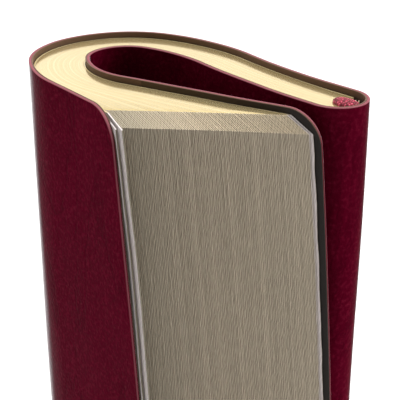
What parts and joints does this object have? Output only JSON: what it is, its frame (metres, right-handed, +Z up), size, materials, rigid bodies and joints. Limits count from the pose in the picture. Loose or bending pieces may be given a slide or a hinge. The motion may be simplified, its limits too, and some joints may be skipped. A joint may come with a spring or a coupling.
{
  "type": "pocket notebook",
  "caption": "Limp-leather pocket notebook bent back on itself and stood on its tail; its gilt-edged leaves fan between the free ends of the two covers.",
  "frame": {"origin": "middle of the bent notebook's box, on the surface that it stands on", "axes": "+Z up along the spine, from tail to head; the leaves' cut edges face -Y"},
  "size_m": [0.0448, 0.0442, 0.142],
  "materials": {
    "leather": "limp grained leather, deep red",
    "lining": "thin brown inner lining",
    "flyleaf": "stiff pale endpaper",
    "paper": "thin writing paper, gilt at head and tail",
    "band": "rolled woven band, red and pink",
    "thread": "linen sewing thread",
    "gauze": "open cotton gauze",
    "glue": "flexible binding glue",
    "liner": "kraft paper spine liner"
  },
  "bodies": {
    "bent_book": {"cover_leather": "leather", "cover_lining": "lining", "front_flyleaf_bend": "flyleaf", "back_flyleaf_bend": "flyleaf", "gathering_1_fold": "paper", "gathering_2_fold": "paper", "gathering_3_fold": "paper", "gathering_4_fold": "paper", "gathering_5_fold": "paper", "gathering_6_fold": "paper", "gathering_7_fold": "paper", "gathering_8_fold": "paper", "spine_glue": "glue", "spine_mull": "gauze", "spine_liner": "liner", "sewing_thread_1": "thread", "sewing_thread_2": "thread", "sewing_thread_3": "thread", "sewing_thread_4": "thread", "sewing_thread_5": "thread", "headband": "band", "tailband": "band"},
    "front_cover": {"front_cover_leather_edge": "leather", "front_cover_lining_edge": "lining"},
    "back_cover": {"back_cover_leather_edge": "leather", "back_cover_lining_edge": "lining"},
    "front_flyleaf": {"front_flyleaf_edge": "flyleaf"},
    "back_flyleaf": {"back_flyleaf_edge": "flyleaf"},
    "leaves_1": {"gathering_1_leaves": "paper"},
    "leaves_2": {"gathering_2_leaves": "paper"},
    "leaves_3": {"gathering_3_leaves": "paper"},
    "leaves_4": {"gathering_4_leaves": "paper"},
    "leaves_5": {"gathering_5_leaves": "paper"},
    "leaves_6": {"gathering_6_leaves": "paper"},
    "leaves_7": {"gathering_7_leaves": "paper"},
    "leaves_8": {"gathering_8_leaves": "paper"}
  },
  "joints": [
    {"name": "front_cover_open", "type": "hinge", "parent": "bent_book", "child": "front_cover", "pos_m": [-0.0187, -0.00215, 0], "axis": [0, 0, -1], "range_deg": [0, 50]},
    {"name": "front_flyleaf_fan", "type": "hinge", "parent": "bent_book", "child": "front_flyleaf", "pos_m": [-0.01798, -0.00203, 0], "axis": [0, 0, -1], "range_deg": [0, 44.01]},
    {"name": "leaves_1_fan", "type": "hinge", "parent": "bent_book", "child": "leaves_1", "pos_m": [-0.00731, -0.00293, 0], "axis": [0, 0, -1], "range_deg": [0, 4.01]},
    {"name": "leaves_2_fan", "type": "hinge", "parent": "bent_book", "child": "leaves_2", "pos_m": [-0.0083, -0.00335, 0], "axis": [0, 0, -1], "range_deg": [0, 9.01]},
    {"name": "leaves_3_fan", "type": "hinge", "parent": "bent_book", "child": "leaves_3", "pos_m": [-0.00944, -0.00368, 0], "axis": [0, 0, -1], "range_deg": [0, 14.01]},
    {"name": "leaves_4_fan", "type": "hinge", "parent": "bent_book", "child": "leaves_4", "pos_m": [-0.01073, -0.00387, 0], "axis": [0, 0, -1], "range_deg": [0, 19.01]},
    {"name": "leaves_5_fan", "type": "hinge", "parent": "bent_book", "child": "leaves_5", "pos_m": [-0.01215, -0.00391, 0], "axis": [0, 0, -1], "range_deg": [0, 24.01]},
    {"name": "leaves_6_fan", "type": "hinge", "parent": "bent_book", "child": "leaves_6", "pos_m": [-0.01369, -0.00376, 0], "axis": [0, 0, -1], "range_deg": [0, 29.01]},
    {"name": "leaves_7_fan", "type": "hinge", "parent": "bent_book", "child": "leaves_7", "pos_m": [-0.01534, -0.00339, 0], "axis": [0, 0, -1], "range_deg": [0, 34.01]},
    {"name": "leaves_8_fan", "type": "hinge", "parent": "bent_book", "child": "leaves_8", "pos_m": [-0.01706, -0.00276, 0], "axis": [0, 0, -1], "range_deg": [0, 39.01]},
    {"name": "back_cover_close", "type": "hinge", "parent": "bent_book", "child": "back_cover", "pos_m": [-0.00612, -0.00166, 0], "axis": [0, 0, 1], "range_deg": [0, 3]},
    {"name": "back_flyleaf_fan", "type": "hinge", "parent": "bent_book", "child": "back_flyleaf", "pos_m": [-0.00651, -0.00218, 0], "axis": [0, 0, 1], "range_deg": [0, 1.51]}
  ],
  "couplings": [
    {"joint": "front_flyleaf_fan", "follows": "front_cover_open", "ratio": 0.88},
    {"joint": "leaves_1_fan", "follows": "front_cover_open", "ratio": 0.08},
    {"joint": "leaves_2_fan", "follows": "front_cover_open", "ratio": 0.18},
    {"joint": "leaves_3_fan", "follows": "front_cover_open", "ratio": 0.28},
    {"joint": "leaves_4_fan", "follows": "front_cover_open", "ratio": 0.38},
    {"joint": "leaves_5_fan", "follows": "front_cover_open", "ratio": 0.48},
    {"joint": "leaves_6_fan", "follows": "front_cover_open", "ratio": 0.58},
    {"joint": "leaves_7_fan", "follows": "front_cover_open", "ratio": 0.68},
    {"joint": "leaves_8_fan", "follows": "front_cover_open", "ratio": 0.78},
    {"joint": "back_flyleaf_fan", "follows": "back_cover_close", "ratio": 0.5}
  ]
}
